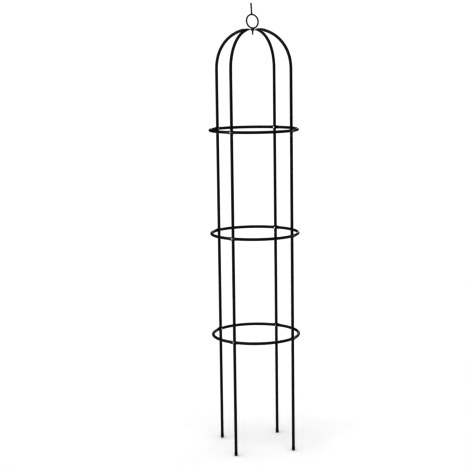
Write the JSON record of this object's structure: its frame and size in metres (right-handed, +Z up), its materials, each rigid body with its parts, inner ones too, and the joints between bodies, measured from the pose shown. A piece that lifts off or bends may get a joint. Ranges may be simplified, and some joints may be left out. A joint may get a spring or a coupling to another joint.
{
  "type": "garden obelisk",
  "caption": "Tall round garden obelisk of thin black tube: straight uprights, hoops outside them, a rounded dome top and a ring finial, for climbing plants to grow up.",
  "frame": {"origin": "on the ground, on the centre line, level with the bottoms of the foot caps", "axes": "+Z up along the centre line to the finial; the uprights stand on the diagonals between X and Y; the pictured front is towards -Y"},
  "size_m": [0.3798, 0.3798, 1.9],
  "materials": {
    "tube": "satin black plastic-coated steel tube with a very fine orange peel and rub marks",
    "wire": "satin black painted steel: the finial wire and the nut under the crown",
    "zinc": "bright zinc-plated steel hardware",
    "cap": "matte black moulded plastic"
  },
  "bodies": {
    "root": {"front_left_foot_tube": "tube", "front_left_middle_tube": "tube", "front_left_upper_tube": "tube", "front_left_dome_tube": "tube", "front_left_foot_cap": "cap", "front_right_foot_tube": "tube", "front_right_middle_tube": "tube", "front_right_upper_tube": "tube", "front_right_dome_tube": "tube", "front_right_foot_cap": "cap", "back_right_foot_tube": "tube", "back_right_middle_tube": "tube", "back_right_upper_tube": "tube", "back_right_dome_tube": "tube", "back_right_foot_cap": "cap", "back_left_foot_tube": "tube", "back_left_middle_tube": "tube", "back_left_upper_tube": "tube", "back_left_dome_tube": "tube", "back_left_foot_cap": "cap", "lower_hoop_back_half": "tube", "lower_hoop_front_half": "tube", "lower_hoop_bolt_front_left": "zinc", "lower_hoop_nut_front_left": "zinc", "lower_hoop_bolt_front_right": "zinc", "lower_hoop_nut_front_right": "zinc", "lower_hoop_bolt_back_right": "zinc", "lower_hoop_nut_back_right": "zinc", "lower_hoop_bolt_back_left": "zinc", "lower_hoop_nut_back_left": "zinc", "middle_hoop_back_half": "tube", "middle_hoop_front_half": "tube", "middle_hoop_bolt_front_left": "zinc", "middle_hoop_nut_front_left": "zinc", "middle_hoop_bolt_front_right": "zinc", "middle_hoop_nut_front_right": "zinc", "middle_hoop_bolt_back_right": "zinc", "middle_hoop_nut_back_right": "zinc", "middle_hoop_bolt_back_left": "zinc", "middle_hoop_nut_back_left": "zinc", "upper_hoop_back_half": "tube", "upper_hoop_front_half": "tube", "upper_hoop_bolt_front_left": "zinc", "upper_hoop_nut_front_left": "zinc", "upper_hoop_bolt_front_right": "zinc", "upper_hoop_nut_front_right": "zinc", "upper_hoop_bolt_back_right": "zinc", "upper_hoop_nut_back_right": "zinc", "upper_hoop_bolt_back_left": "zinc", "upper_hoop_nut_back_left": "zinc", "finial": "wire", "finial_nut": "wire"}
  },
  "joints": []
}
